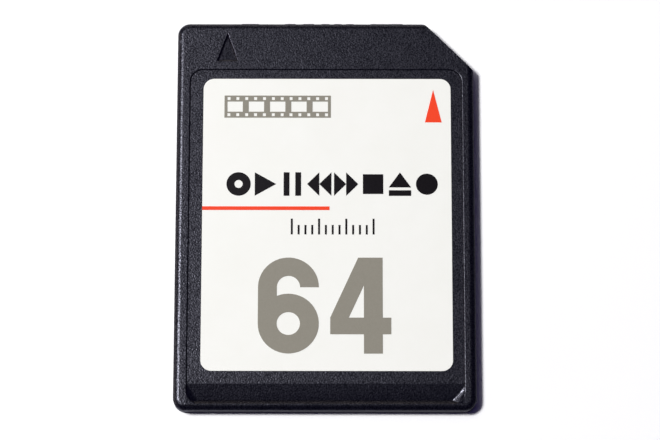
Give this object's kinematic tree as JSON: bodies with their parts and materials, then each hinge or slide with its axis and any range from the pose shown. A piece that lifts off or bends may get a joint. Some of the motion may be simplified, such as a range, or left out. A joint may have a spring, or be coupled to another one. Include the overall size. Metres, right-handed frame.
{
  "type": "multimedia card",
  "caption": "Thin flash memory card with a cut corner, a recessed label, a sloping nail grip, a sunken arrow and a row of flat contacts on the back.",
  "frame": {"origin": "middle of the card's outline, on the plane of the contact face that it lies on", "axes": "+X towards the side with the cut corner, +Y towards the leading edge that enters the slot first, +Z towards the label"},
  "size_m": [0.024, 0.032, 0.0014],
  "materials": {
    "case_plastic": "finely spark-eroded black plastic",
    "label_film": "satin printed polyester film",
    "red_ink": "printed ink under a satin varnish",
    "grey_ink": "printed ink under a satin varnish",
    "black_ink": "printed ink under a satin varnish",
    "adhesive": "bonding film",
    "board_laminate": "glass-epoxy board under dark solder mask",
    "contact_gold": "hard gold plate",
    "chip_mould": "moulded epoxy",
    "tin_plate": "matt tin plate",
    "capacitor_ceramic": "fired ceramic with tinned ends",
    "resistor_ceramic": "glazed ceramic with tinned ends"
  },
  "bodies": {
    "root": {"case": "case_plastic", "front_label": "label_film", "label_print_red": "red_ink", "label_print_grey": "grey_ink", "label_print_black": "black_ink", "bonding_film": "adhesive", "circuit_board": "board_laminate", "contact_1": "contact_gold", "contact_2": "contact_gold", "contact_3": "contact_gold", "contact_4": "contact_gold", "contact_5": "contact_gold", "contact_6": "contact_gold", "contact_7": "contact_gold", "memory_package": "chip_mould", "memory_leads": "tin_plate", "controller_package": "chip_mould", "controller_terminals": "tin_plate", "capacitor_1": "capacitor_ceramic", "capacitor_2": "capacitor_ceramic", "capacitor_3": "capacitor_ceramic", "capacitor_4": "capacitor_ceramic", "resistor_1": "resistor_ceramic", "resistor_2": "resistor_ceramic", "resistor_3": "resistor_ceramic", "resistor_4": "resistor_ceramic"}
  },
  "joints": []
}
